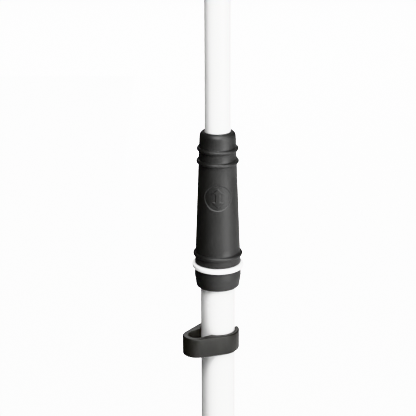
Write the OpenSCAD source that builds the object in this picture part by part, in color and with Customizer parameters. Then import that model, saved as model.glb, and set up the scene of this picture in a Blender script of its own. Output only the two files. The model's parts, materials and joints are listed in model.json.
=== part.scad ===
// Telescopic stand column: two tubes joined by a twist clutch, with a clip for a cable.
// The column stands along +Z. Its origin is the mouth of the threaded hole in its foot.

/* [Tubes] */
// Outside diameter of the upper tube
upper_od = 19; // [15:0.5:24]
// Wall of the upper tube
upper_wall = 1.5; // [1.2:0.1:2]
// Space between the two tubes, filled by the plastic bushes
bush_t = 1.5; // [1.2:0.1:2]
// Wall of the lower tube
lower_wall = 1.5; // [1:0.1:2.5]
// Height of the clutch's underside above the foot
clutch_z = 301.2; // [240:0.1:420]
// Length of the upper tube that shows above the clutch
exposed_len = 150; // [125:5:260]
// How far the upper tube can still go down
retract_travel = 120; // [60:5:120]

/* [Clutch] */
// Height of the collar under the ring
collar_h = 14.3; // [12:0.1:24]
// Radial step from the lower tube to the top of the collar
collar_stand = 4.4; // [3.5:0.1:6]
// Radial step from the lower tube to the underside of the collar
collar_foot_stand = 3.1; // [2.7:0.1:3.4]
// Height of the coloured ring
ring_h = 3.6; // [2:0.1:6]
// Radial step from the lower tube to the outside of the coloured ring
ring_stand = 6.2; // [4.6:0.1:8]
// Height of the soft grip
grip_h = 99.8; // [84:0.1:130]
// Thickness of the soft grip over the nut
grip_t = 1.7; // [1:0.1:1.8]
// Radial step from the lower tube to the bottom edge of the grip
skirt_stand = 4.1; // [3.9:0.05:6]
// Radial step from the upper tube to the top edge of the grip
rim_stand = 3.65; // [3.5:0.05:5]
// Radius of the rounding on the grip's top edge
rim_round = 3.2; // [2:0.1:3.3]
// Height of a bead on the grip
bead_h = 3.2; // [2:0.1:8]
// How far a bead stands out
bead_rise = 1.6; // [0.5:0.05:2.5]
// Centre of the lowest bead above the grip's bottom edge
low_bead_z = 6.8; // [5:0.1:12]
// Centre of the top bead below the grip's top edge
top_bead_drop = 13.3; // [9:0.1:20]
// Distance between the two upper beads
bead_pitch = 9.4; // [8.5:0.1:14]

/* [Clutch core] */
// Wall of the core's skirt over the lower tube
core_wall = 1.5; // [1.2:0.1:2]
// How far the lower tube ends below the core's step
tube_end_drop = 2.1; // [1.6:0.1:6]
// Height of the core above the coloured ring
core_h = 39; // [32:0.5:50]
// Height of the core's slimmer top
core_neck_h = 8; // [6:0.5:12]
// Depth of the collet's seat in the core
seat_h = 12; // [10:0.5:16]
// Height of the collet's head above the core
collet_head_h = 2.6; // [2:0.1:4]
// Width of a slot in the collet
collet_slot_w = 1.2; // [0.8:0.1:2]
// Number of slots in the collet
collet_slots = 6; // [4:1:8]
// Height of the thrust ring
thrust_h = 2; // [1.5:0.1:3]

/* [Bushes] */
// Length of the bush in the mouth of the lower tube
mouth_bush_len = 32; // [24:1:40]
// Length of the bush on the foot of the upper tube
guide_len = 30; // [20:1:40]
// Height of a snap ring that holds the bush
snap_h = 1.2; // [0.8:0.1:2]
// Depth of a snap ring's groove in the tube
snap_groove = 0.4; // [0.2:0.05:0.6]

/* [Foot and top] */
// Radius of the bore for the 3/8 inch thread
foot_thread_r = 3.97; // [3.5:0.01:5]
// Length of the threaded insert in the foot
insert_len = 24; // [18:1:30]
// Thickness of the foot's flange
flange_t = 3.5; // [2:0.1:5]
// Thickness of the washer under the foot
foot_washer_t = 1.5; // [1:0.1:3]
// Radius of the 3/8 inch stud
stud_r = 4.76; // [4:0.01:5]
// Radius of the 5/8 inch thread on the adapter
adapter_r = 7.94; // [7:0.01:9]
// Length of the adapter's thread
adapter_len = 14; // [10:0.5:20]
// Height of the adapter's round flange
adapter_flange_h = 4; // [3:0.1:6]
// Radius of the adapter's round flange
adapter_flange_r = 9.8; // [9:0.1:12]
// Radius of a rivet's shank
rivet_r = 2; // [1:0.1:2.5]

/* [Cable clip] */
// Height of the clip
clip_h = 14.8; // [8:0.1:20]
// Distance of the clip's top below the clutch
clip_drop = 34.9; // [5:0.1:80]
// Radial wall of the clip at its middle
clip_wall = 3.75; // [3:0.05:6]
// How far the clip's outside is set towards the loop
clip_shift = 0.8; // [0:0.1:1.8]
// Inside radius of the cable loop
loop_r = 5.75; // [3.5:0.05:8]
// Wall of the cable loop
loop_wall = 4.55; // [3:0.05:6]
// Angle by which each side of the way into the loop opens towards the tube
loop_flare = 5.5; // [0:0.5:8]
// Distance from the tube's surface to the loop's centre
loop_reach = 6.95; // [6:0.05:14]
// Direction of the loop, in degrees from +X
loop_dir = 216.5; // [180:0.5:270]
// Angle of the clip's front end
mouth_from = 12; // [0:1:30]
// Angle of the clip's back end
mouth_to = 100; // [80:1:110]

/* [Hidden] */
$fn = 96;

// Clearances
run_fit = 0.08;          // sliding and turning fits between moving pieces
free_gap = 0.3;          // faces of moving pieces that pass without touching
face_gap = 0.1;          // faces that close on each other in use
cut = 1;                 // how far a cutting shape runs past what it cuts

// Tube radii
upper_r = upper_od / 2;
upper_in_r = upper_r - upper_wall;
lower_in_r = upper_r + bush_t;
lower_r = lower_in_r + lower_wall;

// Heights of the foot
foot_flange_z = foot_washer_t;
lower_bottom_z = foot_flange_z + flange_t;
base_rivet_z = (lower_bottom_z + insert_len) / 2;
foot_boss_r = foot_thread_r + 4;

// Heights of the clutch
collar_lip_h = 2;
ring_z = clutch_z + collar_h;
core_step_z = ring_z + ring_h;
grip_z = core_step_z + free_gap;
grip_top_z = grip_z + grip_h;
lower_top_z = core_step_z - tube_end_drop;
mouth_flange_t = 1.4;
core_top_z = core_step_z + core_h;
neck_z = core_top_z - core_neck_h;
seat_z = core_top_z - seat_h;
collet_top_z = core_top_z + collet_head_h;
thrust_z = collet_top_z + face_gap;
nut_z = grip_z + face_gap;
nut_top_z = grip_top_z - 7.2;
wiper_h = 3;
core_rivet_z = clutch_z + collar_h / 2 + 1;

// Radii of the clutch
core_skirt_r = lower_r + core_wall;
core_r = lower_r;
core_neck_r = core_r - 0.6;
core_bore_r = upper_r + 0.4;
seat_low_r = core_bore_r + 0.5;
seat_top_r = core_neck_r - 0.9;
thrust_r = core_neck_r + 0.4;
nut_bore_r = upper_r + 0.35;
skirt_r = lower_r + skirt_stand;
rim_r = upper_r + rim_stand;
bead_round = (pow(bead_h / 2, 2) + pow(bead_rise, 2)) / (2 * bead_rise);
bead_heights = [low_bead_z,
                grip_h - top_bead_drop - bead_pitch,
                grip_h - top_bead_drop];

// Heights of the upper tube
buffer_t = 5;
landing_gap = 1;
insert_top_z = insert_len;
upper_bottom_z = insert_top_z + landing_gap + buffer_t + retract_travel;
upper_top_z = grip_top_z + exposed_len;
snap_low_z = upper_bottom_z + 4;
guide_z = snap_low_z + snap_h + face_gap;
snap_high_z = guide_z + guide_len + face_gap;
snap_r = (upper_r + lower_in_r) / 2 + 0.4;

// Heights of the top fittings
top_flange_t = 2;
top_washer_t = 1;
top_washer_z = upper_top_z + top_flange_t;
adapter_z = top_washer_z + top_washer_t;
adapter_thread_z = adapter_z + adapter_flange_h;
adapter_top_z = adapter_thread_z + adapter_len;
stud_top_z = adapter_top_z - 3;
top_insert_len = 20;

// The clip
clip_z = clutch_z - clip_drop - clip_h;
clip_in_r = lower_r + run_fit;
clip_out_r = lower_r + clip_wall + 0.1;
loop_dist = lower_r + loop_reach;
loop_out_r = loop_r + loop_wall;

tube_white = [0.93, 0.93, 0.92];
soft_black = [0.14, 0.14, 0.14];
clip_black = [0.2, 0.2, 0.19];
nylon = [0.86, 0.86, 0.82];
acetal = [0.55, 0.57, 0.58];
steel = [0.68, 0.69, 0.7];

// Radius of the grip's outer cone at a height above its bottom edge
function grip_cone_r(h) = skirt_r + (rim_r - skirt_r) * h / (grip_h - rim_round);

// A plain ring between two radii and two heights
module ring(r_in, r_out, z0, z1) {
    rotate_extrude() translate([r_in, z0]) square([r_out - r_in, z1 - z0]);
}

// Radial pins through a wall, one on each side
module cross_pins(r, r_in, r_out, z) {
    for (side = [-1, 1])
        translate([0, side * r_in, z]) rotate([-90 * side, 0, 0]) cylinder(r = r, h = r_out - r_in);
}

module lower_tube() {
    color(tube_white) difference() {
        ring(lower_in_r, lower_r, lower_bottom_z, lower_top_z);
        cross_pins(rivet_r, lower_in_r - cut, lower_r + cut, base_rivet_z);
        cross_pins(rivet_r, lower_in_r - cut, lower_r + cut, core_rivet_z);
    }
}

// Turned steel insert with the female thread, pressed into the foot of the lower tube
module base_insert() {
    color(steel) difference() {
        union() {
            ring(foot_thread_r, foot_boss_r, 0, foot_flange_z);
            ring(foot_thread_r, lower_r, foot_flange_z, lower_bottom_z);
            ring(foot_thread_r, lower_in_r, lower_bottom_z, insert_top_z);
        }
        cross_pins(rivet_r, lower_in_r - 4, lower_in_r + cut, base_rivet_z);
    }
}

module base_washer() {
    color(soft_black) ring(foot_boss_r, lower_r + 0.5, 0, foot_washer_t);
}

// Blind rivets that hold the insert, with low domed heads on the tube
module base_rivets() {
    head_r = rivet_r + 1.3;
    head_h = 0.9;
    color(tube_white) for (side = [-1, 1]) {
        translate([0, side * (lower_in_r - 4), base_rivet_z]) rotate([-90 * side, 0, 0])
            cylinder(r = rivet_r, h = lower_wall + 4);
        translate([0, side * lower_r, base_rivet_z]) rotate([-90 * side, 0, 0])
            cylinder(r1 = head_r, r2 = head_r - 1, h = head_h);
    }
}

// Nylon bush in the mouth of the lower tube, which is also the upper tube's stop
module mouth_bush() {
    color(nylon) {
        ring(upper_r + run_fit, lower_in_r, lower_top_z - mouth_bush_len, lower_top_z);
        ring(upper_r + run_fit, lower_r - 0.2, lower_top_z, lower_top_z + mouth_flange_t);
    }
}

// Moulded core: skirt over the lower tube, threaded barrel, conical seat for the collet
module clutch_core() {
    color(acetal) difference() {
        union() {
            ring(core_bore_r, core_skirt_r, clutch_z + collar_lip_h, core_step_z);
            ring(core_bore_r, core_r, core_step_z, neck_z);
            ring(core_bore_r, core_neck_r, neck_z, core_top_z);
        }
        ring(0, lower_r, clutch_z, lower_top_z + mouth_flange_t);
        translate([0, 0, seat_z])
            cylinder(r1 = seat_low_r, r2 = seat_top_r, h = seat_h);
        cross_pins(rivet_r, lower_r - cut, core_skirt_r + cut, core_rivet_z);
    }
}

// Rivets whose flat ends lie just under the core's round skirt
module core_rivets() {
    end_r = sqrt(pow(core_skirt_r, 2) - pow(rivet_r, 2));
    color(steel) cross_pins(rivet_r, lower_in_r, end_r, core_rivet_z);
}

// Collar that hides the rivets, wider at its top
module lower_collar() {
    foot_r = lower_r + collar_foot_stand;
    top_r = lower_r + collar_stand;
    foot_round = collar_foot_stand / 4;
    straight_h = collar_h * 0.43;
    color(soft_black) translate([0, 0, clutch_z]) rotate_extrude() difference() {
        union() {
            polygon([[lower_r, 0], [foot_r - foot_round, 0], [foot_r, foot_round],
                     [top_r, collar_h - straight_h], [top_r, collar_h], [lower_r, collar_h]]);
            translate([foot_r - foot_round, foot_round]) circle(r = foot_round);
        }
        translate([lower_r - cut, collar_lip_h])
            square([core_skirt_r - lower_r + cut, collar_h]);
    }
}

// Coloured ring with a rounded outer edge, seated on the collar
module marker_ring() {
    edge = ring_h / 3;
    out_r = lower_r + ring_stand;
    color(tube_white) translate([0, 0, ring_z]) rotate_extrude() {
        translate([core_skirt_r, 0]) square([out_r - edge - core_skirt_r, ring_h]);
        translate([core_skirt_r, edge]) square([out_r - core_skirt_r, ring_h - 2 * edge]);
        for (z = [edge, ring_h - edge]) translate([out_r - edge, z]) circle(r = edge);
    }
}

// Slotted collet: its cone closes on the upper tube when it is pushed into the seat
module collet() {
    cone_gap = 0.1;
    head_r = core_neck_r - 0.2;
    slot_z = seat_z + 2;
    color(nylon) difference() {
        union() {
            translate([0, 0, seat_z])
                cylinder(r1 = seat_low_r - cone_gap, r2 = seat_top_r - cone_gap, h = seat_h);
            translate([0, 0, core_top_z]) cylinder(r = seat_top_r - cone_gap, h = cone_gap);
            translate([0, 0, core_top_z + cone_gap])
                cylinder(r = head_r, h = collet_head_h - cone_gap);
        }
        translate([0, 0, seat_z - cut])
            cylinder(r = upper_r + run_fit, h = seat_h + collet_head_h + 2 * cut);
        for (i = [0 : collet_slots - 1]) rotate([0, 0, i * 360 / collet_slots])
            translate([0, -collet_slot_w / 2, slot_z])
                cube([lower_r, collet_slot_w, collet_top_z - slot_z + cut]);
    }
}

// Split ring, captive in the nut, that pushes the collet without turning it
module thrust_ring() {
    split_w = 2;
    color(acetal) difference() {
        ring(upper_r + free_gap, thrust_r, thrust_z, thrust_z + thrust_h);
        translate([0, -split_w / 2, thrust_z - cut])
            cube([thrust_r + cut, split_w, thrust_h + 2 * cut]);
    }
}

// Rigid nut under the grip, with the running thread, the thrust ring's groove and the upper bore
module clutch_nut() {
    low_r = grip_cone_r(nut_z - grip_z) - grip_t;
    top_r = grip_cone_r(nut_top_z - grip_z) - grip_t;
    groove_z = thrust_z - face_gap;
    groove_h = thrust_h + 2 * face_gap;
    color(soft_black) difference() {
        translate([0, 0, nut_z]) cylinder(r1 = low_r, r2 = top_r, h = nut_top_z - nut_z);
        translate([0, 0, nut_z - cut]) cylinder(r = core_r + run_fit, h = neck_z - nut_z + cut);
        translate([0, 0, nut_z]) cylinder(r = core_neck_r + run_fit, h = groove_z - nut_z);
        translate([0, 0, groove_z]) cylinder(r = thrust_r + 0.1, h = groove_h);
        translate([0, 0, nut_z]) cylinder(r = nut_bore_r, h = nut_top_z - nut_z + cut);
    }
}

// Soft grip: one long cone with three beads and a rounded mouth
module grip_sleeve() {
    cone_h = grip_h - rim_round;
    nut_low_r = grip_cone_r(nut_z - grip_z) - grip_t;
    nut_top_r = grip_cone_r(nut_top_z - grip_z) - grip_t;
    color(soft_black) difference() {
        union() {
            translate([0, 0, grip_z]) cylinder(r1 = skirt_r, r2 = rim_r, h = cone_h);
            for (h = bead_heights) translate([0, 0, grip_z + h]) rotate_extrude()
                translate([grip_cone_r(h) + bead_rise - bead_round, 0]) circle(r = bead_round);
            translate([0, 0, grip_z + cone_h]) rotate_extrude() intersection() {
                translate([rim_r - rim_round, 0]) circle(r = rim_round);
                square([rim_r, rim_round]);
            }
        }
        translate([0, 0, grip_z - cut]) cylinder(r = nut_low_r, h = nut_z - grip_z + cut);
        translate([0, 0, nut_z]) cylinder(r1 = nut_low_r, r2 = nut_top_r, h = nut_top_z - nut_z);
        translate([0, 0, nut_top_z]) cylinder(r = nut_top_r, h = wiper_h);
        translate([0, 0, nut_top_z]) cylinder(r = nut_bore_r, h = grip_top_z - nut_top_z + cut);
    }
}

// Felt ring that wipes the upper tube
module wiper_ring() {
    out_r = grip_cone_r(nut_top_z - grip_z) - grip_t;
    color([0.25, 0.25, 0.25]) ring(upper_r + free_gap, out_r, nut_top_z, nut_top_z + wiper_h);
}

// Split bush on the foot of the upper tube: it slides in the lower tube, the upper tube turns in it
module guide_bush() {
    split_w = 1.6;
    color(nylon) difference() {
        ring(upper_r + run_fit, lower_in_r - run_fit, guide_z, guide_z + guide_len);
        translate([0, -split_w / 2, guide_z - cut])
            cube([lower_r, split_w, guide_len + 2 * cut]);
    }
}

// Snap rings in the upper tube's grooves, one on each side of the bush
module bush_clips() {
    split_a = 12;
    for (z = [snap_low_z, snap_high_z]) color(steel) difference() {
        ring(upper_r - snap_groove, snap_r, z, z + snap_h);
        translate([0, 0, z - cut]) linear_extrude(snap_h + 2 * cut)
            polygon([[0, 0], [lower_r * cos(split_a), -lower_r * sin(split_a)],
                     [lower_r * cos(split_a), lower_r * sin(split_a)]]);
    }
}

module upper_tube() {
    color(tube_white) difference() {
        ring(upper_in_r, upper_r, upper_bottom_z, upper_top_z);
        for (z = [snap_low_z, snap_high_z])
            ring(upper_r - snap_groove, upper_r + cut, z, z + snap_h);
    }
}

// Rubber foot of the upper tube, with a vent hole
module drop_buffer() {
    vent_r = 2;
    stem_h = 12;
    color(soft_black) {
        ring(vent_r, upper_r - 0.1, upper_bottom_z - buffer_t, upper_bottom_z);
        ring(vent_r, upper_in_r, upper_bottom_z, upper_bottom_z + stem_h);
    }
}

// Turned insert pressed into the top of the upper tube
module top_insert() {
    color(steel) {
        ring(stud_r, upper_in_r, upper_top_z - top_insert_len, upper_top_z);
        ring(stud_r, upper_r, upper_top_z, top_washer_z);
    }
}

// Stud with the 3/8 inch thread
module top_stud() {
    chamfer = 0.8;
    color(steel) {
        translate([0, 0, upper_top_z - top_insert_len])
            cylinder(r = stud_r, h = stud_top_z - chamfer - upper_top_z + top_insert_len);
        translate([0, 0, stud_top_z - chamfer])
            cylinder(r1 = stud_r, r2 = stud_r - chamfer, h = chamfer);
    }
}

module adapter_washer() {
    color(soft_black) ring(stud_r, upper_r - 0.5, top_washer_z, adapter_z);
}

// Adapter from the 3/8 inch stud to a 5/8 inch male thread, with a slot for a coin
module thread_adapter() {
    chamfer = 0.8;
    slot_w = 2.4;
    slot_d = 2.2;
    color(steel) difference() {
        union() {
            translate([0, 0, adapter_z]) cylinder(r = adapter_flange_r, h = adapter_flange_h);
            translate([0, 0, adapter_thread_z])
                cylinder(r = adapter_r, h = adapter_len - chamfer);
            translate([0, 0, adapter_top_z - chamfer])
                cylinder(r1 = adapter_r, r2 = adapter_r - chamfer, h = chamfer);
        }
        translate([0, 0, adapter_z - cut])
            cylinder(r = stud_r, h = adapter_top_z - adapter_z + 2 * cut);
        translate([-adapter_r - cut, -slot_w / 2, adapter_top_z - slot_d])
            cube([2 * (adapter_r + cut), slot_w, slot_d + cut]);
    }
}

// Distance from the tube's axis to the clip's outer wrap, in a direction
function wrap_r(a) = clip_shift * cos(a - loop_dir)
    + sqrt(pow(clip_out_r, 2) - pow(clip_shift * sin(a - loop_dir), 2));

// Plan of the clip, with its loop along +X
module clip_plan() {
    arm_a = acos((clip_out_r - loop_out_r) / (loop_dist - clip_shift));
    front_a = mouth_from - loop_dir + 360;
    back_a = mouth_to - loop_dir + 360;
    far = 3 * clip_out_r;
    inset = 0.05;  // arms and rounded ends start just inside the curves that they leave
    arm_wrap_r = clip_out_r - inset;
    arm_loop_r = loop_out_r - inset;
    flare_x = loop_dist + (loop_r - inset) * sin(loop_flare);
    flare_y = (loop_r - inset) * cos(loop_flare);
    flare_mouth = flare_y + flare_x * tan(loop_flare);
    difference() {
        union() {
            translate([clip_shift, 0]) circle(r = clip_out_r);
            translate([loop_dist, 0]) circle(r = loop_out_r);
            polygon([for (s = [1, -1]) [clip_shift + arm_wrap_r * cos(arm_a), s * arm_wrap_r * sin(arm_a)],
                     for (s = [-1, 1]) [loop_dist + arm_loop_r * cos(arm_a), s * arm_loop_r * sin(arm_a)]]);
        }
        circle(r = clip_in_r);
        polygon([[flare_x, -flare_y], [flare_x, flare_y], [0, flare_mouth], [0, -flare_mouth]]);
        translate([loop_dist, 0]) circle(r = loop_r);
        polygon([[0, 0], [far * cos(front_a), far * sin(front_a)],
                 [far * cos((front_a + back_a) / 2), far * sin((front_a + back_a) / 2)],
                 [far * cos(back_a), far * sin(back_a)]]);
    }
    for (a = [mouth_from, mouth_to]) rotate([0, 0, a - loop_dir])
        translate([(clip_in_r + wrap_r(a)) / 2, 0])
            circle(r = (wrap_r(a) - clip_in_r) / 2 - inset);
}

// Clip: a springy band around the lower tube that runs out into a loop for the cable
module cable_clip() {
    color(clip_black) translate([0, 0, clip_z]) rotate([0, 0, loop_dir])
        linear_extrude(clip_h) clip_plan();
}

lower_tube();
base_insert();
base_washer();
base_rivets();
mouth_bush();
clutch_core();
core_rivets();
lower_collar();
marker_ring();
collet();
thrust_ring();
clutch_nut();
grip_sleeve();
wiper_ring();
guide_bush();
bush_clips();
upper_tube();
drop_buffer();
top_insert();
top_stud();
adapter_washer();
thread_adapter();
cable_clip();
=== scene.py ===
import json
import math

import bmesh
import bpy
from mathutils import Matrix, Vector


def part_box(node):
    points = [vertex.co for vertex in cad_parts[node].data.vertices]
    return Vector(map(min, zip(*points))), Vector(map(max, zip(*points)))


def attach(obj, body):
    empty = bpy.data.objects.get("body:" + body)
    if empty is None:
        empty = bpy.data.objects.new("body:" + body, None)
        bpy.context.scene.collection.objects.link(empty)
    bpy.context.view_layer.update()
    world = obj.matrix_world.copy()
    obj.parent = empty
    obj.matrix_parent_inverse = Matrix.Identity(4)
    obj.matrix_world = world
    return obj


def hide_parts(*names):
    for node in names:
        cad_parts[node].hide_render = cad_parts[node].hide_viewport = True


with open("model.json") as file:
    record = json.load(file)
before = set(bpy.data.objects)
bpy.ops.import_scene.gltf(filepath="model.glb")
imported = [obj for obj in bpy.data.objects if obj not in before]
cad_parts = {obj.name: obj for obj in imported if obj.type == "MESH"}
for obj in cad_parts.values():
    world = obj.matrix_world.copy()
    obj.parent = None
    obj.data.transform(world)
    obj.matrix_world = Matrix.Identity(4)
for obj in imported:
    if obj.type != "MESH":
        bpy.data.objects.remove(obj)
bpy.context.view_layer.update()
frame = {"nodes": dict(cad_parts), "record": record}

# ---------------------------------------------------------------- sizes, in metres
MM = 0.001
EDGE = 0.35 * MM            # rounding of turned and moulded edges
FINE = 0.12 * MM            # rounding of small machined edges
WELD = 0.002 * MM           # points closer than this become one
LONG_STEP = 12 * MM         # longest step along a plain tube wall
TUBE_WALL = 1.5 * MM
MOUTH_PLAY = 0.35 * MM      # play of the grip's mouth round the upper tube
SKIRT_STAND = 4.1 * MM      # how far the grip's foot stands out from the lower tube
RIM_STAND = 3.65 * MM       # how far its cone stands out from the upper tube near the mouth
RIM_ROUND = 3.2 * MM        # height below the mouth at which the cone stands out so far
GRIP_WALL = 1.7 * MM
EMBLEM_RISE = 53 * MM       # middle of the sunk panel above the grip's foot
AIM_RISE = 44.8 * MM        # point that the camera and most lamps face, above the ring's foot
FOOT_THREAD_R = 3.97 * MM
FOOT_BOSS_R = FOOT_THREAD_R + 4 * MM
TOP_THREAD_R = 7.94 * MM
COARSE_PITCH = 25.4 / 16 * MM   # 16 threads to the inch
FINE_PITCH = 25.4 / 27 * MM     # 27 threads to the inch
NUT_PITCH = 3 * MM


def low(node):
    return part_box(node)[0].z


def top(node):
    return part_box(node)[1].z


def radius(node):
    return (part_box(node)[1].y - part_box(node)[0].y) / 2


lower_r = radius("lower_tube")
upper_r = radius("upper_tube")
lower_in_r = lower_r - TUBE_WALL
upper_in_r = upper_r - TUBE_WALL
core_skirt_r = radius("clutch_core")
stud_r = radius("top_stud")
bore_r = upper_r + MOUTH_PLAY
grip_low = low("grip_sleeve")
grip_top = top("grip_sleeve")
skirt_r = lower_r + SKIRT_STAND
rim_r = upper_r + RIM_STAND
emblem_z = grip_low + EMBLEM_RISE
aim_z = low("marker_ring") + AIM_RISE


# ---------------------------------------------------------------- node trees
class Tree:
    """A node tree that is wired by calls: add() makes a node and links or sets its inputs."""

    def __init__(self, tree):
        self.tree = tree

    def add(self, kind, *inputs, **settings):
        node = self.tree.nodes.new(kind)
        for name, value in settings.items():
            setattr(node, name, value)
        for place, value in enumerate(inputs):
            self.feed(node, place, value)
        return node

    def feed(self, node, place, value):
        if value is None:
            return
        if isinstance(value, bpy.types.NodeSocket):
            self.tree.links.new(value, node.inputs[place])
        else:
            node.inputs[place].default_value = value

    def math(self, operation, a, b=None, c=None):
        return self.add("ShaderNodeMath", a, b, c, operation=operation).outputs[0]

    def whole(self, operation, a, b):
        return self.add("FunctionNodeIntegerMath", a, b, operation=operation).outputs[0]

    def clamp01(self, a):
        return self.add("ShaderNodeClamp", a, 0.0, 1.0).outputs[0]


def geometry_tree(name, sockets):
    """A Geometry Nodes tree with a geometry in and out and the named inputs."""
    group = bpy.data.node_groups.new(name, "GeometryNodeTree")
    group.interface.new_socket("Geometry", in_out="OUTPUT", socket_type="NodeSocketGeometry")
    group.interface.new_socket("Geometry", in_out="INPUT", socket_type="NodeSocketGeometry")
    for socket, kind in sockets:
        group.interface.new_socket(socket, in_out="INPUT", socket_type=kind)
    start = group.nodes.new("NodeGroupInput")
    end = group.nodes.new("NodeGroupOutput")
    return Tree(group), start.outputs, end


def turning_tree():
    """Turns a profile, drawn as a line of points in X and Z, about the Z axis."""
    t, given, end = geometry_tree("turn_profile", [
        ("Steps", "NodeSocketInt"), ("Material", "NodeSocketMaterial")])
    rows = t.add("GeometryNodeAttributeDomainSize", given["Geometry"], component="MESH")
    rows = rows.outputs["Point Count"]
    columns = t.whole("ADD", given["Steps"], 1)
    grid = t.add("GeometryNodeMeshGrid", 1.0, 1.0, columns, rows).outputs["Mesh"]
    index = t.add("GeometryNodeInputIndex").outputs[0]
    place = t.add("GeometryNodeInputPosition").outputs[0]
    point = t.add("GeometryNodeSampleIndex", data_type="FLOAT_VECTOR", domain="POINT")
    t.tree.links.new(given["Geometry"], point.inputs["Geometry"])
    t.tree.links.new(place, point.inputs["Value"])
    t.tree.links.new(t.whole("MODULO", index, rows), point.inputs["Index"])
    split = t.add("ShaderNodeSeparateXYZ", point.outputs["Value"]).outputs
    angle = t.math("DIVIDE", t.whole("DIVIDE_FLOOR", index, rows), given["Steps"])
    angle = t.math("MULTIPLY", angle, 2 * math.pi)
    x = t.math("MULTIPLY", split["X"], t.math("COSINE", angle))
    y = t.math("MULTIPLY", split["X"], t.math("SINE", angle))
    spun = t.add("ShaderNodeCombineXYZ", x, y, split["Z"]).outputs[0]
    placed = t.add("GeometryNodeSetPosition", grid, None, spun).outputs[0]
    closed = t.add("GeometryNodeMergeByDistance")
    t.tree.links.new(placed, closed.inputs["Geometry"])
    closed.inputs["Distance"].default_value = WELD
    painted = t.add("GeometryNodeSetMaterial", closed.outputs[0], None, given["Material"]).outputs[0]
    t.tree.links.new(painted, end.inputs[0])
    return t.tree


def wall_reader(t, given):
    """Way out from the axis, height, angle in turns and a mask of the wall between two heights."""
    near = 0.03 * MM
    place = t.add("GeometryNodeInputPosition").outputs[0]
    split = t.add("ShaderNodeSeparateXYZ", place).outputs
    flat = t.add("ShaderNodeCombineXYZ", split["X"], split["Y"], 0.0).outputs[0]
    reach = t.add("ShaderNodeVectorMath", flat, operation="LENGTH").outputs["Value"]
    turn = t.math("DIVIDE", t.math("ARCTAN2", split["Y"], split["X"]), 2 * math.pi)
    on_wall = t.math("COMPARE", reach, given["Wall Radius"], near)
    rise = t.clamp01(t.math("DIVIDE", t.math("SUBTRACT", split["Z"], given["Bottom"]), given["Run Out"]))
    fall = t.clamp01(t.math("DIVIDE", t.math("SUBTRACT", given["Top"], split["Z"]), given["Run Out"]))
    mask = t.math("MULTIPLY", on_wall, t.math("MULTIPLY", rise, fall))
    return flat, split["Z"], turn, mask


def sunk(t, given, end, flat, depth):
    """Moves the wall towards the axis by depth, and finishes the tree."""
    out = t.add("ShaderNodeVectorMath", flat, operation="NORMALIZE").outputs[0]
    move = t.add("ShaderNodeVectorMath", out, operation="SCALE")
    t.tree.links.new(t.math("MULTIPLY", depth, -1.0), move.inputs["Scale"])
    moved = t.add("GeometryNodeSetPosition", given["Geometry"], None, None, move.outputs[0]).outputs[0]
    t.tree.links.new(moved, end.inputs[0])
    return t.tree


WALL_INPUTS = [("Wall Radius", "NodeSocketFloat"), ("Bottom", "NodeSocketFloat"),
               ("Top", "NodeSocketFloat"), ("Run Out", "NodeSocketFloat"), ("Depth", "NodeSocketFloat")]


def thread_tree():
    """Cuts a helical thread into a turned wall; a negative depth cuts outwards, as in a hole."""
    t, given, end = geometry_tree("cut_thread", WALL_INPUTS + [("Pitch", "NodeSocketFloat")])
    land, steepness = 0.9, 1.3
    flat, height, turn, mask = wall_reader(t, given)
    phase = t.math("FRACT", t.math("SUBTRACT", t.math("DIVIDE", height, given["Pitch"]), turn))
    flank = t.math("ABSOLUTE", t.math("SUBTRACT", t.math("MULTIPLY", phase, 2.0), 1.0))
    groove = t.clamp01(t.math("MULTIPLY", t.math("SUBTRACT", land, flank), steepness))
    depth = t.math("MULTIPLY", t.math("MULTIPLY", groove, given["Depth"]), mask)
    return sunk(t, given, end, flat, depth)


def flute_tree():
    """Cuts equal upright flutes into a turned wall, as on a grip flange."""
    t, given, end = geometry_tree("cut_flutes", WALL_INPUTS + [("Count", "NodeSocketInt")])
    sharpness = 2.0
    flat, _, turn, mask = wall_reader(t, given)
    wave = t.math("COSINE", t.math("MULTIPLY", t.math("MULTIPLY", turn, given["Count"]), 2 * math.pi))
    groove = t.math("POWER", t.math("MULTIPLY_ADD", wave, 0.5, 0.5), sharpness)
    depth = t.math("MULTIPLY", t.math("MULTIPLY", groove, given["Depth"]), mask)
    return sunk(t, given, end, flat, depth)


def ring_tree():
    """Places copies of a shape, drawn on the +X side, evenly about the Z axis."""
    t, given, end = geometry_tree("place_round", [
        ("Count", "NodeSocketInt"), ("First Angle", "NodeSocketFloat"), ("Material", "NodeSocketMaterial")])
    points = t.add("GeometryNodeMeshLine")
    t.tree.links.new(given["Count"], points.inputs["Count"])
    points.inputs["Offset"].default_value = (0.0, 0.0, 0.0)
    index = t.add("GeometryNodeInputIndex").outputs[0]
    step = t.math("DIVIDE", 2 * math.pi, given["Count"])
    angle = t.math("ADD", t.math("MULTIPLY", index, step), given["First Angle"])
    turn = t.add("ShaderNodeCombineXYZ", 0.0, 0.0, angle).outputs[0]
    copies = t.add("GeometryNodeInstanceOnPoints")
    t.tree.links.new(points.outputs[0], copies.inputs["Points"])
    t.tree.links.new(given["Geometry"], copies.inputs["Instance"])
    t.tree.links.new(turn, copies.inputs["Rotation"])
    real = t.add("GeometryNodeRealizeInstances", copies.outputs[0]).outputs[0]
    painted = t.add("GeometryNodeSetMaterial", real, None, given["Material"]).outputs[0]
    t.tree.links.new(painted, end.inputs[0])
    return t.tree


TURN, THREAD, FLUTES, ROUND = turning_tree(), thread_tree(), flute_tree(), ring_tree()


def through(piece, tree, **values):
    """Adds a tree to a piece and sets its named inputs."""
    modifier = piece.modifiers.new(tree.name, "NODES")
    modifier.node_group = tree
    for item in tree.interface.items_tree:
        key = item.name.replace(" ", "_").lower()
        if item.in_out == "INPUT" and key in values:
            modifier[item.identifier] = values[key]
    return piece


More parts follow.
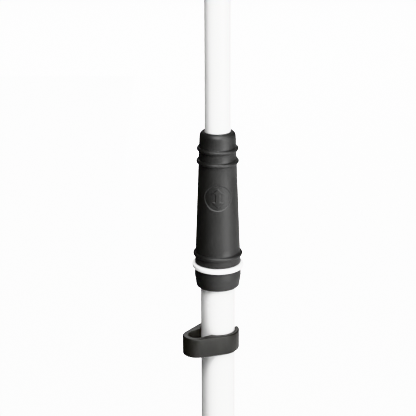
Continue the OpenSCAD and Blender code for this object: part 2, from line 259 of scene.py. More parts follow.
def plain(piece, sharp=35):
    """Makes a piece's modifiers real: one closed mesh, faces outwards, smooth up to the sharp angle."""
    bpy.context.view_layer.update()
    evaluated = piece.evaluated_get(bpy.context.evaluated_depsgraph_get())
    mesh = bpy.data.meshes.new_from_object(evaluated)
    piece.modifiers.clear()
    piece.data = mesh
    shape = bmesh.new()
    shape.from_mesh(mesh)
    bmesh.ops.remove_doubles(shape, verts=shape.verts, dist=WELD)
    bmesh.ops.recalc_face_normals(shape, faces=shape.faces)
    shape.to_mesh(mesh)
    shape.free()
    mesh.shade_smooth()
    mesh.set_sharp_from_angle(angle=math.radians(sharp))
    return piece


def new_piece(name, points, edges=(), faces=()):
    mesh = bpy.data.meshes.new(name)
    mesh.from_pydata(points, edges, faces)
    piece = bpy.data.objects.new(name, mesh)
    bpy.context.scene.collection.objects.link(piece)
    return piece


# ---------------------------------------------------------------- profiles
def arc(cx, cz, r, start, stop, steps=6):
    """Points on an arc of a profile, angles in degrees from +X towards +Z."""
    return [(cx + r * math.cos(math.radians(start + (stop - start) * i / steps)),
             cz + r * math.sin(math.radians(start + (stop - start) * i / steps)))
            for i in range(steps + 1)]


def rounded(corners, r, steps=4):
    """A closed profile through the corners, each rounded by r or by its own radius in a third value."""
    most = 0.45                 # share of a side that one rounding may take
    points = []
    for i, corner in enumerate(corners):
        here = Vector(corner[:2])
        size = corner[2] if len(corner) > 2 else r
        before = Vector(corners[i - 1][:2]) - here
        after = Vector(corners[(i + 1) % len(corners)][:2]) - here
        half = before.angle(after) / 2
        reach = min(size / math.tan(half), most * before.length, most * after.length)
        a, b = here + before.normalized() * reach, here + after.normalized() * reach
        if size == 0:
            points.append(tuple(here))
            continue
        for k in range(steps + 1):
            f = k / steps
            points.append(tuple(a * (1 - f) ** 2 + here * 2 * f * (1 - f) + b * f ** 2))
    return points


def between(points, longest):
    """The same profile with its long stretches cut up, so that no step is longer than given."""
    full = []
    for (x0, z0), (x1, z1) in zip(points, points[1:] + points[:1]):
        count = max(1, math.ceil(math.hypot(x1 - x0, z1 - z0) / longest))
        full += [(x0 + (x1 - x0) * i / count, z0 + (z1 - z0) * i / count) for i in range(count)]
    return full


def turned(name, profile, material, steps=96):
    """A piece turned from a closed profile of (radius, height) points."""
    points = [(x, 0.0, z) for x, z in profile + profile[:1]]
    piece = new_piece(name, points, edges=[(i, i + 1) for i in range(len(points) - 1)])
    return through(piece, TURN, steps=steps, material=material)


def washer_profile(r_in, r_out, z0, z1, r=EDGE):
    return rounded([(r_in, z0), (r_out, z0), (r_out, z1), (r_in, z1)], r)


def placed(piece, body, slot, *nodes):
    """Attaches a finished piece to its body and hides the CAD nodes that it stands for; the slot argument,
    its finish, is not used.
    """
    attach(piece, body)
    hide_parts(*nodes)
    return piece


# ---------------------------------------------------------------- materials
def finish_tree(name, color, roughness, metal=0.0, specular=0.5, coat=0.0, coat_rough=0.1):
    material = bpy.data.materials.new(name)
    material.use_nodes = True
    t = Tree(material.node_tree)
    shader = material.node_tree.nodes["Principled BSDF"]
    shader.inputs["Base Color"].default_value = (*color, 1.0)
    shader.inputs["Roughness"].default_value = roughness
    shader.inputs["Metallic"].default_value = metal
    shader.inputs["Specular IOR Level"].default_value = specular
    shader.inputs["Coat Weight"].default_value = coat
    shader.inputs["Coat Roughness"].default_value = coat_rough
    place = t.add("ShaderNodeTexCoord").outputs["Object"]
    return material, t, shader, place


def grain(t, place, scale, detail=3.0, stretch=(1.0, 1.0, 1.0), roughness=0.5):
    """Noise on the piece's own coordinates, stretched along an axis where its scale is small."""
    mapped = t.add("ShaderNodeMapping", place)
    mapped.inputs["Scale"].default_value = stretch
    noise = t.add("ShaderNodeTexNoise", mapped.outputs[0])
    noise.inputs["Scale"].default_value = scale
    noise.inputs["Detail"].default_value = detail
    noise.inputs["Roughness"].default_value = roughness
    return noise.outputs[0]


def ramped(t, value, low_value, high_value, start=0.3, stop=0.7):
    """A value from one level to another as the noise goes from start to stop."""
    node = t.add("ShaderNodeMapRange", value, start, stop, low_value, high_value)
    return node.outputs[0]


def tinted(t, shader, value, dark, light):
    """Base colour between two tones, by a noise."""
    mix = t.add("ShaderNodeMix", data_type="RGBA")
    t.tree.links.new(value, mix.inputs["Factor"])
    mix.inputs["A"].default_value = (*dark, 1.0)
    mix.inputs["B"].default_value = (*light, 1.0)
    t.tree.links.new(mix.outputs["Result"], shader.inputs["Base Color"])


def bumped(t, shader, value, depth, before=None):
    """Surface relief of a real depth in metres; several are chained."""
    bump = t.add("ShaderNodeBump")
    bump.inputs["Distance"].default_value = depth
    bump.inputs["Strength"].default_value = 1.0
    t.tree.links.new(value, bump.inputs["Height"])
    if before is not None:
        t.tree.links.new(before, bump.inputs["Normal"])
    t.tree.links.new(bump.outputs[0], shader.inputs["Normal"])
    return bump.outputs[0]


def powder_coat():
    """White powder coat: glossy, with the soft orange peel of the baked powder and faint handling dust."""
    material, t, shader, place = finish_tree(
        "white_powder_coat", (0.76, 0.76, 0.755), 0.3, coat=0.35, coat_rough=0.12)
    peel = grain(t, place, scale=520.0, detail=2.0)
    mottle = grain(t, place, scale=45.0, detail=4.0)
    tinted(t, shader, ramped(t, mottle, 0.0, 1.0), (0.745, 0.745, 0.74), (0.77, 0.77, 0.766))
    t.tree.links.new(ramped(t, mottle, 0.26, 0.36), shader.inputs["Roughness"])
    first = bumped(t, shader, peel, 0.012 * MM)
    bumped(t, shader, grain(t, place, scale=2600.0, detail=2.0), 0.002 * MM, first)
    return material


def white_plastic():
    """Satin moulded plastic with a fine spark-eroded grain."""
    material, t, shader, place = finish_tree("white_moulded_plastic", (0.84, 0.84, 0.835), 0.4)
    cloud = grain(t, place, scale=120.0, detail=4.0)
    tinted(t, shader, ramped(t, cloud, 0.0, 1.0), (0.82, 0.82, 0.815), (0.85, 0.85, 0.848))
    t.tree.links.new(ramped(t, cloud, 0.36, 0.46), shader.inputs["Roughness"])
    bumped(t, shader, grain(t, place, scale=3000.0, detail=2.0), 0.006 * MM)
    return material


def soft_touch():
    """Soft-touch black rubber: matte, velvety, with a very fine grain and slight handling polish."""
    material, t, shader, place = finish_tree(
        "soft_touch_rubber", (0.022, 0.022, 0.0215), 0.5, specular=0.6)
    cloud = grain(t, place, scale=60.0, detail=5.0)
    tinted(t, shader, ramped(t, cloud, 0.0, 1.0), (0.017, 0.017, 0.0165), (0.023, 0.023, 0.0225))
    t.tree.links.new(ramped(t, cloud, 0.46, 0.55), shader.inputs["Roughness"])
    skin = bumped(t, shader, grain(t, place, scale=3600.0, detail=3.0), 0.01 * MM)
    bumped(t, shader, grain(t, place, scale=420.0, detail=2.0), 0.006 * MM, skin)
    return material


def clip_plastic():
    """Warm black moulded plastic of the clip, a little glossier, with flow marks along the band."""
    material, t, shader, place = finish_tree(
        "clip_moulded_plastic", (0.02, 0.0197, 0.018), 0.46, specular=0.4)
    flow = grain(t, place, scale=160.0, detail=4.0, stretch=(1.0, 1.0, 0.25))
    tinted(t, shader, ramped(t, flow, 0.0, 1.0), (0.017, 0.0167, 0.0152), (0.025, 0.0245, 0.0225))
    t.tree.links.new(ramped(t, flow, 0.4, 0.5), shader.inputs["Roughness"])
    skin = bumped(t, shader, grain(t, place, scale=2400.0, detail=3.0), 0.012 * MM)
    bumped(t, shader, flow, 0.02 * MM, skin)
    return material


def moulded(name, color, roughness, mottle=0.12):
    """Plain engineering plastic: slight cloudiness and a fine mould grain."""
    material, t, shader, place = finish_tree(name, color, roughness)
    cloud = grain(t, place, scale=90.0, detail=4.0)
    dark = tuple(c * (1 - mottle) for c in color)
    light = tuple(min(1.0, c * (1 + mottle)) for c in color)
    tinted(t, shader, ramped(t, cloud, 0.0, 1.0), dark, light)
    t.tree.links.new(ramped(t, cloud, roughness - 0.05, roughness + 0.07), shader.inputs["Roughness"])
    bumped(t, shader, grain(t, place, scale=2800.0, detail=2.0), 0.006 * MM)
    return material


def turned_metal(name, color, roughness):
    """Lathe-turned and plated metal: fine rings along the axis and a faint cloud in the plating."""
    material, t, shader, place = finish_tree(name, color, roughness, metal=1.0)
    rings = grain(t, place, scale=1500.0, detail=3.0, stretch=(0.06, 0.06, 1.0))
    cloud = grain(t, place, scale=150.0, detail=4.0)
    tinted(t, shader, ramped(t, cloud, 0.0, 1.0), tuple(c * 0.9 for c in color), color)
    t.tree.links.new(ramped(t, cloud, roughness * 0.8, roughness * 1.3), shader.inputs["Roughness"])
    bumped(t, shader, rings, 0.006 * MM)
    return material


def black_rubber():
    """Moulded rubber with a dry, dusty surface."""
    material, t, shader, place = finish_tree("black_rubber", (0.02, 0.02, 0.02), 0.7, specular=0.35)
    dust = grain(t, place, scale=300.0, detail=6.0)
    tinted(t, shader, ramped(t, dust, 0.0, 1.0, 0.4, 0.75), (0.016, 0.016, 0.016), (0.036, 0.035, 0.033))
    bumped(t, shader, grain(t, place, scale=1800.0, detail=4.0), 0.02 * MM)
    return material


def wool_felt():
    """Pressed felt: matted fibres in two directions with a soft sheen."""
    material, t, shader, place = finish_tree("pressed_felt", (0.05, 0.05, 0.052), 0.95, specular=0.2)
    shader.inputs["Sheen Weight"].default_value = 0.4
    across = grain(t, place, scale=900.0, detail=5.0, stretch=(1.0, 0.25, 1.0))
    along = grain(t, place, scale=900.0, detail=5.0, stretch=(0.25, 1.0, 1.0))
    tinted(t, shader, ramped(t, across, 0.0, 1.0), (0.035, 0.035, 0.037), (0.075, 0.075, 0.078))
    first = bumped(t, shader, across, 0.08 * MM)
    bumped(t, shader, along, 0.08 * MM, first)
    return material


FINISH = {
    "white_paint": powder_coat(),
    "white_plastic": white_plastic(),
    "soft_black": soft_touch(),
    "clip_plastic": clip_plastic(),
    "nut_plastic": moulded("nut_plastic", (0.032, 0.032, 0.034), 0.45),
    "core_plastic": moulded("core_acetal", (0.2, 0.205, 0.215), 0.4),
    "nylon": moulded("natural_nylon", (0.62, 0.6, 0.54), 0.38, 0.05),
    "black_rubber": black_rubber(),
    "felt": wool_felt(),
    "zinc_steel": turned_metal("zinc_plated_steel", (0.62, 0.62, 0.6), 0.3),
    "nickel": turned_metal("nickel_plate", (0.66, 0.64, 0.6), 0.2),
}


# ---------------------------------------------------------------- the tubes
def lower_tube_piece():
    """Lower tube: drawn steel, both ends deburred."""
    ends = (low("lower_tube"), top("lower_tube"))
    profile = between(washer_profile(lower_in_r, lower_r, *ends), LONG_STEP)
    piece = plain(turned("lower_tube_coated", profile, FINISH["white_paint"], 160))
    return placed(piece, "lower_column", "white_paint", "lower_tube")


def upper_tube_piece():
    """Upper tube, with the two snap ring grooves near its foot."""
    groove = 0.4 * MM
    z0, z1 = low("upper_tube"), top("upper_tube")
    ring_h = 1.2 * MM
    outside = [(upper_r, z0)]
    for z in (low("bush_clips"), top("bush_clips") - ring_h):
        outside += [(upper_r, z, 0.0), (upper_r - groove, z, 0.0),
                    (upper_r - groove, z + ring_h, 0.0), (upper_r, z + ring_h, 0.0)]
    corners = [(upper_in_r, z0)] + outside + [(upper_r, z1), (upper_in_r, z1)]
    profile = between(rounded(corners, EDGE), LONG_STEP)
    piece = plain(turned("upper_tube_coated", profile, FINISH["white_paint"], 144))
    return placed(piece, "upper_column", "white_paint", "upper_tube")


# ---------------------------------------------------------------- the clutch
BEAD_R = 1.6 * MM
ROOT_ROUND = 0.3 * MM
MOUTH_ROUND = 4.4 * MM
MOUTH_TURN = 72             # degrees of the mouth's rounding before it meets the bore
GRIP_STEPS = 560
PLAIN_ROWS = (14, 22, 30, 38)   # heights in millimetres of the rows between a bead and the panel
PANEL_R = 9.4 * MM
PANEL_REACH = 10.2 * MM     # how far above and below the panel's middle the wall is reshaped
PANEL_ROW = 0.24 * MM
PANEL_ROWS = 43             # fine rows on each side of the panel's middle
grip_h = grip_top - grip_low
bead_places = (6.8 * MM, grip_h - 22.7 * MM, grip_h - 13.3 * MM)


def cone_r(h):
    """Radius of the grip's cone at a height above its bottom edge."""
    return skirt_r + (rim_r - skirt_r) * h / (grip_h - RIM_ROUND)


def bead_points(middle):
    """A half-round bead on the cone, with a small hollow at each root."""
    reach = math.sqrt((BEAD_R + ROOT_ROUND) ** 2 - ROOT_ROUND ** 2)
    lean = math.degrees(math.atan2(reach, ROOT_ROUND))
    bulge = arc(ROOT_ROUND, -reach, ROOT_ROUND, 180, 180 - lean, 2)
    bulge += arc(0, 0, BEAD_R, -lean, lean, 14)[1:-1]
    bulge += arc(ROOT_ROUND, reach, ROOT_ROUND, 180 + lean, 180, 2)
    return [(cone_r(middle + h) + x, grip_low + middle + h) for x, h in bulge]


def grip_profile():
    """Outside of the grip from the bottom edge to the rounded mouth, then down its inside."""
    emblem = [(cone_r(h), grip_low + h)
              for h in (emblem_z - grip_low + k * PANEL_ROW for k in range(-PANEL_ROWS, PANEL_ROWS + 1))]
    outside = rounded_edge(skirt_r, grip_low)
    outside += bead_points(bead_places[0])
    outside += [(cone_r(h * MM), grip_low + h * MM) for h in PLAIN_ROWS]
    outside += emblem
    outside += bead_points(bead_places[1]) + bead_points(bead_places[2])
    outside += arc(cone_r(grip_h - MOUTH_ROUND) - MOUTH_ROUND, grip_top - MOUTH_ROUND, MOUTH_ROUND,
                   0, MOUTH_TURN, 12)
    nut_z = low("clutch_nut")
    nut_top = top("clutch_nut")
    nut_low_r = cone_r(nut_z - grip_low) - GRIP_WALL
    nut_top_r = cone_r(nut_top - grip_low) - GRIP_WALL
    wiper_top = top("wiper_ring")
    lip = 0.6 * MM
    inside = [(bore_r, grip_top - lip),
              (bore_r, wiper_top), (nut_top_r, wiper_top), (nut_top_r, nut_top),
              (nut_low_r, nut_z), (nut_low_r, grip_low)]
    return outside + inside


def rounded_edge(r, z):
    """A small rounding at the bottom outer edge of a turned wall."""
    return arc(r - EDGE, z + EDGE, EDGE, -90, 0, 4)


def soft_step(value, width):
    """0 to 1 as value passes zero, smoothed over width."""
    f = min(1.0, max(0.0, value / width + 0.5))
    return f * f * (3 - 2 * f)


def emblem_depth(u, w):
    """Depth of the sunk round panel at a point of its plane; a plain up-and-down arrow stands in it."""
    panel_depth, arrow_rise = 0.4 * MM, 0.8
    step = 0.6 * MM
    depth = soft_step(PANEL_R - math.hypot(u, w), step)
    tip, neck = 7.0 * MM, 3.0 * MM
    head_half, shaft_half = 4.4 * MM, 1.6 * MM
    along = abs(w)
    head = head_half * (tip - along) / (tip - neck) - abs(u)
    in_head = min(head, along - neck)
    in_shaft = min(shaft_half - abs(u), neck + step - along)
    arrow = soft_step(max(in_head, in_shaft), step)
    return panel_depth * depth * (1 - arrow_rise * arrow)


def grip_piece():
    """Soft grip over the nut: a long cone with three beads, a rounded mouth and a sunk panel."""
    skin = 0.5 * MM
    piece = plain(turned("soft_grip", grip_profile(), FINISH["soft_black"], GRIP_STEPS), 40)
    for vertex in piece.data.vertices:
        x, y, z = vertex.co
        r = math.hypot(x, y)
        outside = r > cone_r(z - grip_low) - skin
        if y < 0 and outside and abs(z - emblem_z) < PANEL_REACH:
            shrink = 1 - emblem_depth(x, z - emblem_z) / r
            vertex.co.x, vertex.co.y = x * shrink, y * shrink
    piece.data.set_sharp_from_angle(angle=math.radians(60))
    return placed(piece, "grip", "soft_black", "grip_sleeve")


def collar_piece():
    """Collar under the ring: straight at its top, tapered and rounded towards the tube."""
    z0, h = low("lower_collar"), top("lower_collar") - low("lower_collar")
    foot_r, top_r = lower_r + 3.1 * MM, lower_r + 4.4 * MM
    lip = 2 * MM
    straight_z = z0 + 0.57 * h
    corners = [(lower_r, z0, 0.3 * MM), (foot_r, z0, 0.8 * MM), (top_r, straight_z, 6 * MM),
               (top_r, z0 + h, 0.5 * MM), (core_skirt_r, z0 + h), (core_skirt_r, z0 + lip, 0.0),
               (lower_r, z0 + lip, 0.0)]
    profile = between(rounded(corners, EDGE, 10), 2 * MM)
    piece = plain(turned("clutch_collar", profile, FINISH["soft_black"], 200))
    return placed(piece, "lower_column", "soft_black", "lower_collar")


def ring_piece():
    """White ring between the collar and the grip, full and round at its edge."""
    z0, z1 = low("marker_ring"), top("marker_ring")
    out_r = radius("marker_ring")
    edge = (z1 - z0) * 0.4
    corners = [(core_skirt_r, z0, 0.0), (out_r, z0, edge), (out_r, z1, edge), (core_skirt_r, z1, 0.0)]
    piece = plain(turned("white_ring", rounded(corners, edge, 8), FINISH["white_plastic"], 200))
    return placed(piece, "lower_column", "white_plastic", "marker_ring")


def core_piece():
    """Threaded core: skirt over the tube, running thread, slim neck and the collet's seat."""
    z0, z1 = low("clutch_core"), top("clutch_core")
    step_z = top("marker_ring")
    tube_end = top("mouth_bush")
    neck_z, seat_z = z1 - 8 * MM, z1 - 12 * MM
    bore = upper_r + 0.4 * MM
    neck_r = lower_r - 0.6 * MM
    lead, flare = 0.9 * MM, 0.5 * MM
    corners = [(lower_r, z0, 0.0), (core_skirt_r, z0), (core_skirt_r, step_z), (lower_r, step_z, 0.0),
               (lower_r, neck_z), (neck_r, neck_z, 0.0), (neck_r, z1), (neck_r - lead, z1, FINE),
               (bore + flare, seat_z, 0.0), (bore, seat_z, FINE), (bore, tube_end, FINE),
               (lower_r, tube_end, 0.0)]
    profile = between(rounded(corners, FINE, 2), 0.3 * MM)
    piece = turned("threaded_core", profile, FINISH["core_plastic"], 120)
    through(piece, THREAD, wall_radius=lower_r, bottom=step_z + MM, top=neck_z - 0.5 * MM,
            run_out=0.8 * MM, depth=1.1 * MM, pitch=NUT_PITCH)
    return placed(plain(piece), "lower_column", "core_plastic", "clutch_core")


# ---------------------------------------------------------------- foot and top
def insert_piece():
    """Steel insert of the foot with its female thread and a lead-in chamfer."""
    thread_r, boss_r = FOOT_THREAD_R, FOOT_BOSS_R
    z1, flange0, flange1 = top("base_insert"), top("base_washer"), low("lower_tube")
    chamfer = 0.7 * MM
    corners = [(thread_r + chamfer, 0.0, 0.0), (boss_r, 0.0), (boss_r, flange0, 0.0), (lower_r, flange0),
               (lower_r, flange1), (lower_in_r, flange1, 0.0), (lower_in_r, z1, 0.5 * MM),
               (thread_r + chamfer, z1, 0.0), (thread_r, z1 - chamfer, 0.0), (thread_r, chamfer, 0.0)]
    profile = between(rounded(corners, FINE * 2, 3), 0.2 * MM)
    piece = turned("foot_insert", profile, FINISH["zinc_steel"], 80)
    through(piece, THREAD, wall_radius=thread_r, bottom=chamfer, top=z1 - chamfer,
            run_out=0.5 * MM, depth=-0.75 * MM, pitch=COARSE_PITCH)
    return placed(plain(piece), "lower_column", "zinc_steel", "base_insert")


def foot_washer_piece():
    profile = washer_profile(FOOT_BOSS_R, radius("base_washer"), 0.0, top("base_washer"))
    piece = plain(turned("foot_washer", profile, FINISH["black_rubber"]))
    return placed(piece, "lower_column", "black_rubber", "base_washer")


def rivets_piece():
    """Domed rivets through the foot of the tube, one on each side."""
    z = (low("base_rivets") + top("base_rivets")) / 2
    head_r, shank_r, head_h = 3.3 * MM, 2 * MM, 0.9 * MM
    inner, seat = lower_in_r - 4 * MM, lower_r - 0.25 * MM
    rim = head_h * 0.35
    steps = 6
    dome = [(head_r * math.cos(math.pi / 2 * i / steps),
             seat + rim + (lower_r + head_h - seat - rim) * math.sin(math.pi / 2 * i / steps))
            for i in range(steps + 1)]
    profile = [(0.0, inner), (shank_r, inner), (shank_r, seat), (head_r, seat)] + dome[:-1]
    profile += [(0.0, lower_r + head_h)]
    one = plain(turned("rivet_shape", profile, FINISH["white_paint"], 32))
    one.data.transform(Matrix.Translation((0, 0, z)) @ Matrix.Rotation(math.radians(90), 4, "Y"))
    one.name = "tube_rivets"
    through(one, ROUND, count=2, first_angle=math.pi / 2, material=FINISH["white_paint"])
    return placed(plain(one), "lower_column", "white_paint", "base_rivets")


def adapter_piece():
    """Thread adapter: fluted flange, male thread and a coin slot across its top."""
    z0, z1 = low("thread_adapter"), top("thread_adapter")
    flange_r, thread_r = radius("thread_adapter"), TOP_THREAD_R
    flange_top = z0 + 4 * MM
    chamfer = 0.8 * MM
    corners = [(stud_r, z0, 0.0), (flange_r, z0, 0.4 * MM), (flange_r, flange_top, 0.4 * MM),
               (thread_r, flange_top, FINE), (thread_r, z1 - chamfer, 0.0), (thread_r - chamfer, z1, FINE),
               (stud_r + 0.4 * MM, z1, 0.0), (stud_r, z1 - 0.4 * MM, 0.0)]
    profile = between(rounded(corners, FINE, 3), 0.16 * MM)
    piece = turned("thread_adapter_turned", profile, FINISH["nickel"], 288)
    through(piece, THREAD, wall_radius=thread_r, bottom=flange_top + 0.7 * MM, top=z1 - chamfer,
            run_out=0.3 * MM, depth=0.5 * MM, pitch=FINE_PITCH)
    through(piece, FLUTES, wall_radius=flange_r, bottom=z0 + 0.4 * MM, top=flange_top - 0.4 * MM,
            run_out=0.5 * MM, depth=0.45 * MM, count=36)
    plain(piece)
    cut_slot(piece, thread_r, z1)
    return placed(piece, "upper_column", "nickel", "thread_adapter")


def cut_slot(piece, reach, z1):
    """Mills the coin slot across the adapter's top."""
    half_w, depth = 1.2 * MM, 2.2 * MM
    xs, ys, zs = (-2 * reach, 2 * reach), (-half_w, half_w), (z1 - depth, z1 + depth)
    points = [(x, y, z) for x in xs for y in ys for z in zs]
    faces = [(0, 1, 3, 2), (4, 6, 7, 5), (0, 4, 5, 1), (2, 3, 7, 6), (0, 2, 6, 4), (1, 5, 7, 3)]
    cutter = new_piece("slot_cutter", points, faces=faces)
    cut = piece.modifiers.new("slot", "BOOLEAN")
    cut.operation, cut.object, cut.solver = "DIFFERENCE", cutter, "EXACT"
    plain(piece)
    bpy.data.objects.remove(cutter)


def stud_piece():
    """Threaded stud under the adapter, with a chamfered end."""
    z0, z1 = low("top_stud"), top("top_stud")
    chamfer = 0.8 * MM
    profile = [(0.0, z0), (stud_r, z0), (stud_r, z1 - chamfer), (stud_r - chamfer, z1), (0.0, z1)]
    piece = turned("threaded_stud", between(profile, 0.2 * MM), FINISH["zinc_steel"], 72)
    through(piece, THREAD, wall_radius=stud_r, bottom=z0 + MM, top=z1 - chamfer,
            run_out=0.5 * MM, depth=0.8 * MM, pitch=COARSE_PITCH)
    return placed(plain(piece), "upper_column", "zinc_steel", "top_stud")


def top_fittings():
    """Insert and washer that close the upper tube."""
    z0, z1 = low("top_insert"), top("top_insert")
    flange = z1 - 2 * MM
    corners = [(stud_r, z0, 0.0), (upper_in_r, z0, 0.5 * MM), (upper_in_r, flange, 0.0),
               (upper_r, flange, FINE), (upper_r, z1), (stud_r, z1, 0.0)]
    insert = plain(turned("tube_head", rounded(corners, EDGE), FINISH["zinc_steel"], 128))
    placed(insert, "upper_column", "zinc_steel", "top_insert")
    profile = washer_profile(stud_r, radius("adapter_washer"), low("adapter_washer"), top("adapter_washer"))
    washer = plain(turned("adapter_seat", profile, FINISH["black_rubber"], 128))
    placed(washer, "upper_column", "black_rubber", "adapter_washer")


# ---------------------------------------------------------------- the cable clip
LOOP_DIR = 216.5            # direction of the loop, in degrees from +X
LOOP_FLARE = 5.5            # degrees by which each side of the way into the loop opens
FRONT_END, BACK_END = 12, 100   # directions of the two arms' ends, in degrees from +X
clip_in_r = lower_r + 0.08 * MM
clip_out_r = lower_r + 3.85 * MM
CLIP_SHIFT = 0.8 * MM
LOOP_IN_R, LOOP_OUT_R = 5.75 * MM, 10.3 * MM
loop_dist = lower_r + 6.95 * MM


def wrap_r(angle):
    """Distance from the tube's axis to the outside of the clip, at an angle from the loop."""
    return CLIP_SHIFT * math.cos(angle) + math.sqrt(clip_out_r ** 2 - (CLIP_SHIFT * math.sin(angle)) ** 2)


def wrap_points(start, stop, steps):
    """Points along the outside of the band, from one angle in degrees up to another."""
    angles = [math.radians(start + (stop - start) * i / steps) for i in range(steps)]
    return [(wrap_r(a) * math.cos(a), wrap_r(a) * math.sin(a)) for a in angles]


def end_cap(angle, start, stop):
    """The rounded end of an arm, from one of its walls to the other."""
    middle = (clip_in_r + wrap_r(angle)) / 2
    r = (wrap_r(angle) - clip_in_r) / 2
    return arc(middle * math.cos(angle), middle * math.sin(angle), r, start, stop, 12)


def clip_outline():
    """Plan of the clip with its loop along +X: outside, back end, inside, front end."""
    arm = math.degrees(math.acos((clip_out_r - LOOP_OUT_R) / (loop_dist - CLIP_SHIFT)))
    front, back = FRONT_END - LOOP_DIR + 360, BACK_END - LOOP_DIR
    channel = loop_dist * math.sin(math.radians(LOOP_FLARE)) + LOOP_IN_R
    hole = 90 - LOOP_FLARE
    neck = hole - math.degrees(math.acos(channel / clip_in_r))
    outline = wrap_points(front, arm, 40)
    outline += arc(loop_dist, 0, LOOP_OUT_R, arm, -arm, 40)
    outline += wrap_points(-arm, back, 24)
    outline += end_cap(math.radians(back), back, back - 180)
    outline += arc(0, 0, clip_in_r, back, -neck, 40)[1:]
    outline += arc(loop_dist, 0, LOOP_IN_R, -hole, hole, 28)
    outline += arc(0, 0, clip_in_r, neck, front, 50)
    outline += end_cap(math.radians(front), front + 180, front)[1:-1]
    return outline


def clip_piece():
    """Clip band with softly rounded edges, its plan turned to face the front left."""
    z0, z1 = low("cable_clip"), top("cable_clip")
    outline = clip_outline()
    count = len(outline)
    points = [(x, y, z) for z in (z0, z1) for x, y in outline]
    faces = [(i, (i + 1) % count, count + (i + 1) % count, count + i) for i in range(count)]
    faces += [tuple(range(count)), tuple(range(count, 2 * count))]
    piece = new_piece("cable_clip_band", points, faces=faces)
    piece.data.transform(Matrix.Rotation(math.radians(LOOP_DIR), 4, "Z"))
    plain(piece)
    bevel = piece.modifiers.new("edges", "BEVEL")
    bevel.width, bevel.segments, bevel.limit_method = 0.9 * MM, 4, "ANGLE"
    bevel.angle_limit = math.radians(60)
    plain(piece, 30)
    piece.data.materials.append(FINISH["clip_plastic"])
    return placed(piece, "clip", "clip_plastic", "cable_clip")


# ---------------------------------------------------------------- stage
FLOOR_GLOW = 2.0            # what the floor adds where it is seen directly
ROOM_LIGHT = 0.04           # strength of the room's light on the object
ROOM_SEEN = 3.0             # strength of the room where it is seen directly


def studio():
    """Pale floor, two high keys, a low panel at the right, two lights behind and one over the floor."""
    scene = bpy.context.scene
    scene.view_settings.view_transform = "Khronos PBR Neutral"
    half = 8.0
    floor = new_piece("floor", [(-half, -half, 0), (half, -half, 0), (half, half, 0), (-half, half, 0)],
                      faces=[(0, 1, 2, 3)])
    material, t, shader, place = finish_tree("pale_floor", (0.86, 0.86, 0.86), 0.9, specular=0.1)
    cloud = grain(t, place, scale=3.0, detail=3.0)
    tinted(t, shader, ramped(t, cloud, 0.0, 1.0), (0.85, 0.85, 0.85), (0.87, 0.87, 0.87))
    paper_glow(t, shader, material.node_tree.nodes["Material Output"].inputs["Surface"])
    floor.data.materials.append(material)
    pale_room(scene)
    middle = Vector((0, 0, aim_z))
    soft_light("high_key", middle, place=(0, 50, 1.8), size=(1.0, 1.0), power=46.0)
    soft_light("key", middle, place=(35, 45, 1.8), size=(1.0, 1.0), power=7.0)
    soft_light("panel", middle, place=(46, 6, 1.6), size=(0.8, 1.3), power=26.0)
    soft_light("back", middle, place=(180, 34, 1.8), size=(1.0, 0.8), power=9.0)
    behind = Vector((0, 1.8, 0))
    wash = soft_light("floor_wash", behind, place=(180, 90, 0.6), size=(1.0, 1.2), power=14.0)
    back_fill = soft_light("back_fill", middle, place=(180, 12, 2.0), size=(0.8, 1.2), power=24.0)
    for light in (wash, back_fill):
        light.visible_glossy = False
    dark_card()


def dark_card():
    """A dark card low at the left and behind, out of sight: it darkens the object's left edges."""
    x0, x1, y0, y1, z = -1.8, -0.12, -0.5, 1.6, 4 * MM
    card = new_piece("dark_card", [(x0, y0, z), (x1, y0, z), (x1, y1, z), (x0, y1, z)], faces=[(0, 1, 2, 3)])
    material, t, shader, place = finish_tree("card_cloth", (0.1, 0.1, 0.1), 0.9, specular=0.1)
    weave = grain(t, place, scale=400.0)
    tinted(t, shader, ramped(t, weave, 0.0, 1.0), (0.09, 0.09, 0.09), (0.11, 0.11, 0.11))
    card.data.materials.append(material)
    card.visible_camera = False
    card.visible_shadow = False


def paper_glow(t, shader, surface):
    """Lifts the floor to clean white where it is seen directly, without lighting the object with it."""
    direct = t.add("ShaderNodeLightPath").outputs["Is Camera Ray"]
    glow = t.add("ShaderNodeEmission")
    glow.inputs["Color"].default_value = (1, 1, 1, 1)
    t.tree.links.new(t.math("MULTIPLY", direct, FLOOR_GLOW), glow.inputs["Strength"])
    both = t.add("ShaderNodeAddShader", shader.outputs[0], glow.outputs[0])
    t.tree.links.new(both.outputs[0], surface)


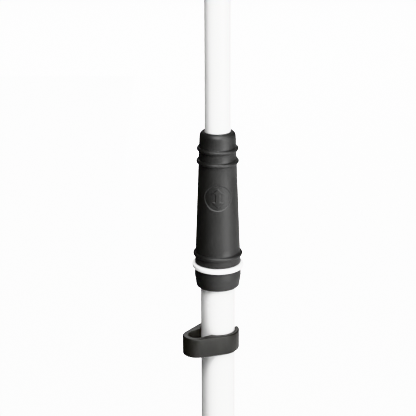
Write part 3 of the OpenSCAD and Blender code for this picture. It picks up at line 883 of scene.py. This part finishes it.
def pale_room(scene):
    """A dim white room; seen directly, behind the floor's edge, it is as pale as the floor."""
    world = bpy.data.worlds.new("studio")
    scene.world = world
    world.use_nodes = True
    t = Tree(world.node_tree)
    room = world.node_tree.nodes["Background"]
    room.inputs["Color"].default_value = (1, 1, 1, 1)
    room.inputs["Strength"].default_value = ROOM_LIGHT
    seen = t.add("ShaderNodeBackground")
    seen.inputs["Color"].default_value = (1, 1, 1, 1)
    seen.inputs["Strength"].default_value = ROOM_SEEN
    direct = t.add("ShaderNodeLightPath").outputs["Is Camera Ray"]
    mix = t.add("ShaderNodeMixShader", direct, room.outputs[0], seen.outputs[0])
    t.tree.links.new(mix.outputs[0], world.node_tree.nodes["World Output"].inputs["Surface"])


def soft_light(name, target, place, size, power):
    """An area light at an azimuth from the front, an elevation and a distance, that faces its target."""
    azimuth, elevation, distance = math.radians(place[0]), math.radians(place[1]), place[2]
    away = Vector((math.sin(azimuth) * math.cos(elevation), -math.cos(azimuth) * math.cos(elevation),
                   math.sin(elevation)))
    data = bpy.data.lights.new(name, "AREA")
    data.shape, data.size, data.size_y, data.energy = "RECTANGLE", size[0], size[1], power
    light = bpy.data.objects.new(name, data)
    bpy.context.scene.collection.objects.link(light)
    light.location = target + away * distance
    light.rotation_euler = away.to_track_quat("Z", "Y").to_euler()
    light.visible_camera = False
    return light


def column_camera():
    """Long lens, looking slightly down at the clutch from the front."""
    data = bpy.data.cameras.new("camera")
    camera = bpy.data.objects.new("camera", data)
    bpy.context.scene.collection.objects.link(camera)
    data.sensor_width, data.lens = 36.0, 167.0
    distance, elevation, roll = 1.39, math.radians(19.96), math.radians(-0.2)
    target = Vector((-7.0 * MM, 0, aim_z))
    back = Vector((0, -math.cos(elevation), math.sin(elevation)))
    up = Vector((0, math.sin(elevation), math.cos(elevation)))
    turn = Matrix((Vector((1, 0, 0)), up, back)).transposed().to_4x4()
    camera.matrix_world = Matrix.Translation(target + back * distance) @ turn @ Matrix.Rotation(roll, 4, "Z")
    data.clip_end = 50
    bpy.context.scene.camera = camera


column_camera()
studio()
lower_tube_piece()
upper_tube_piece()
grip_piece()
collar_piece()
ring_piece()
core_piece()
insert_piece()
foot_washer_piece()
rivets_piece()
adapter_piece()
stud_piece()
top_fittings()
clip_piece()

# CAD nodes that keep their shape get their finish
slot_of = {row["node"]: row["material_slot"] for row in frame["record"]["subparts"]}
for node, cad_object in frame["nodes"].items():
    cad_object.data.materials.clear()
    cad_object.data.materials.append(FINISH[slot_of[node]])
